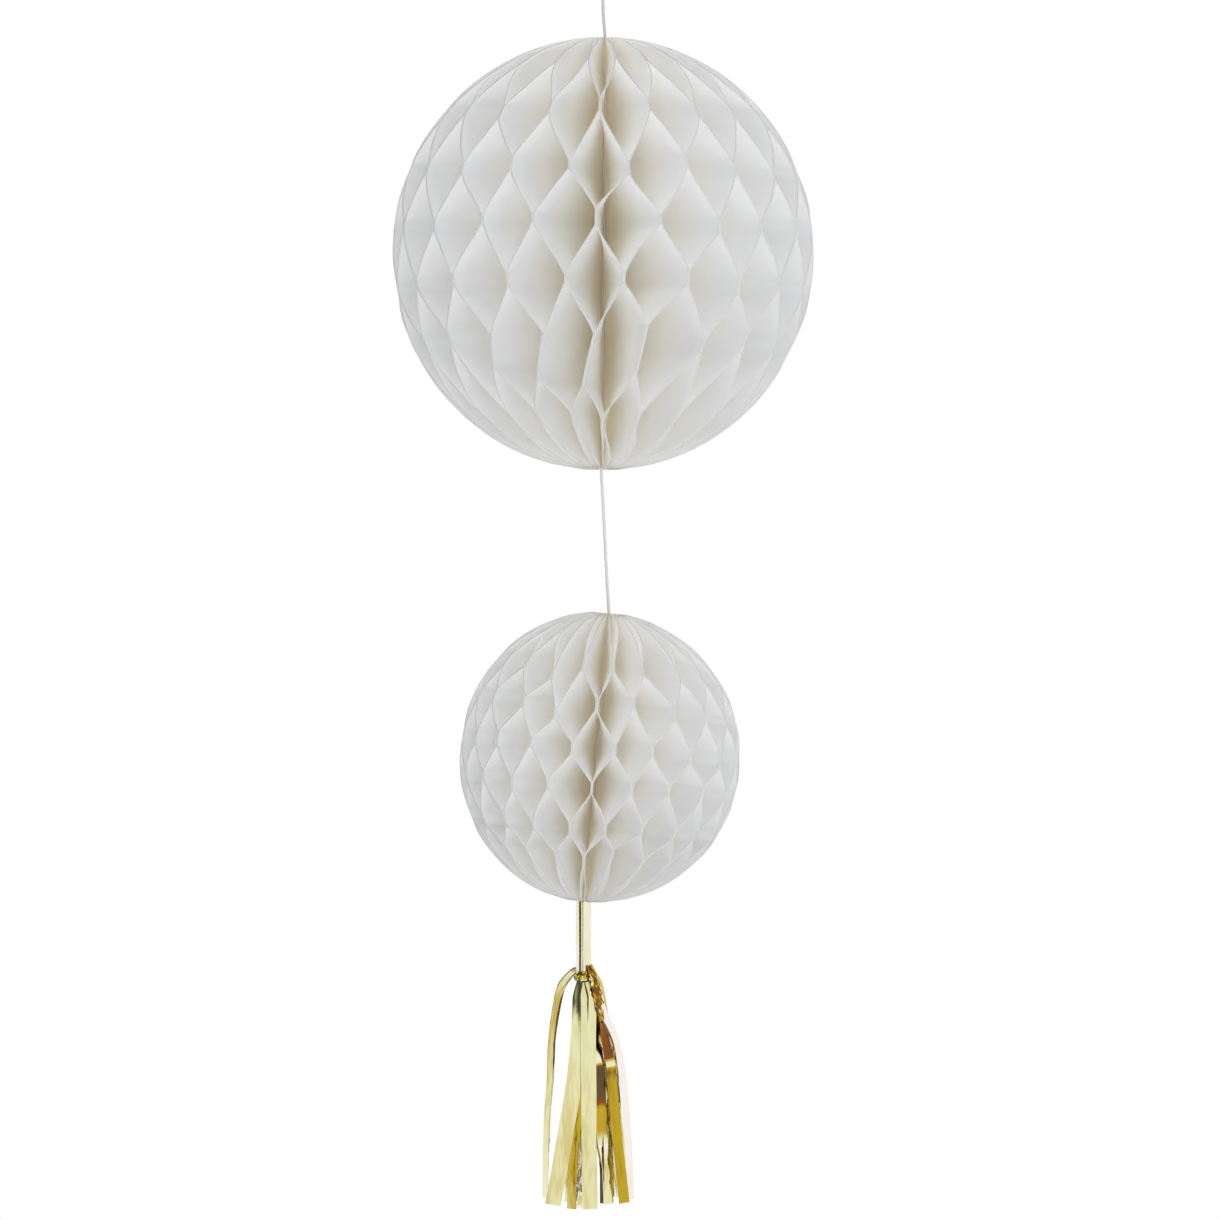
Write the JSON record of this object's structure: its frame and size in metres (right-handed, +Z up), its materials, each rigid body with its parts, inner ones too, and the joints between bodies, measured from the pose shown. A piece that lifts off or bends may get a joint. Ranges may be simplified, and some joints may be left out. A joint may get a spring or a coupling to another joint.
{
  "type": "tissue paper honeycomb pom pom hanging decoration",
  "caption": "White tissue paper honeycomb balls, a large one above a small one, strung on a white cord with a hanging loop above and a gold foil tassel below.",
  "frame": {"origin": "the inside of the hanging loop's top, where a hook holds the string", "axes": "+Z up along the hanging cord, -Y towards the viewer of the picture, +X to the viewer's right"},
  "size_m": [0.2982, 0.2982, 0.9236],
  "materials": {
    "tissue_paper": "matt ivory-white tissue, slightly see-through",
    "cover_card": "smooth white card",
    "white_cord": "twisted white cotton cord",
    "gold_foil": "mirror-bright pale gold metallised film"
  },
  "bodies": {
    "root": {"hanging_loop": "white_cord", "loop_knot": "white_cord", "hanging_cord": "white_cord", "large_ball": "tissue_paper", "large_ball_left_card": "cover_card", "large_ball_right_card": "cover_card", "small_ball": "tissue_paper", "small_ball_left_card": "cover_card", "small_ball_right_card": "cover_card", "tassel": "gold_foil", "tassel_band": "gold_foil"}
  },
  "joints": []
}
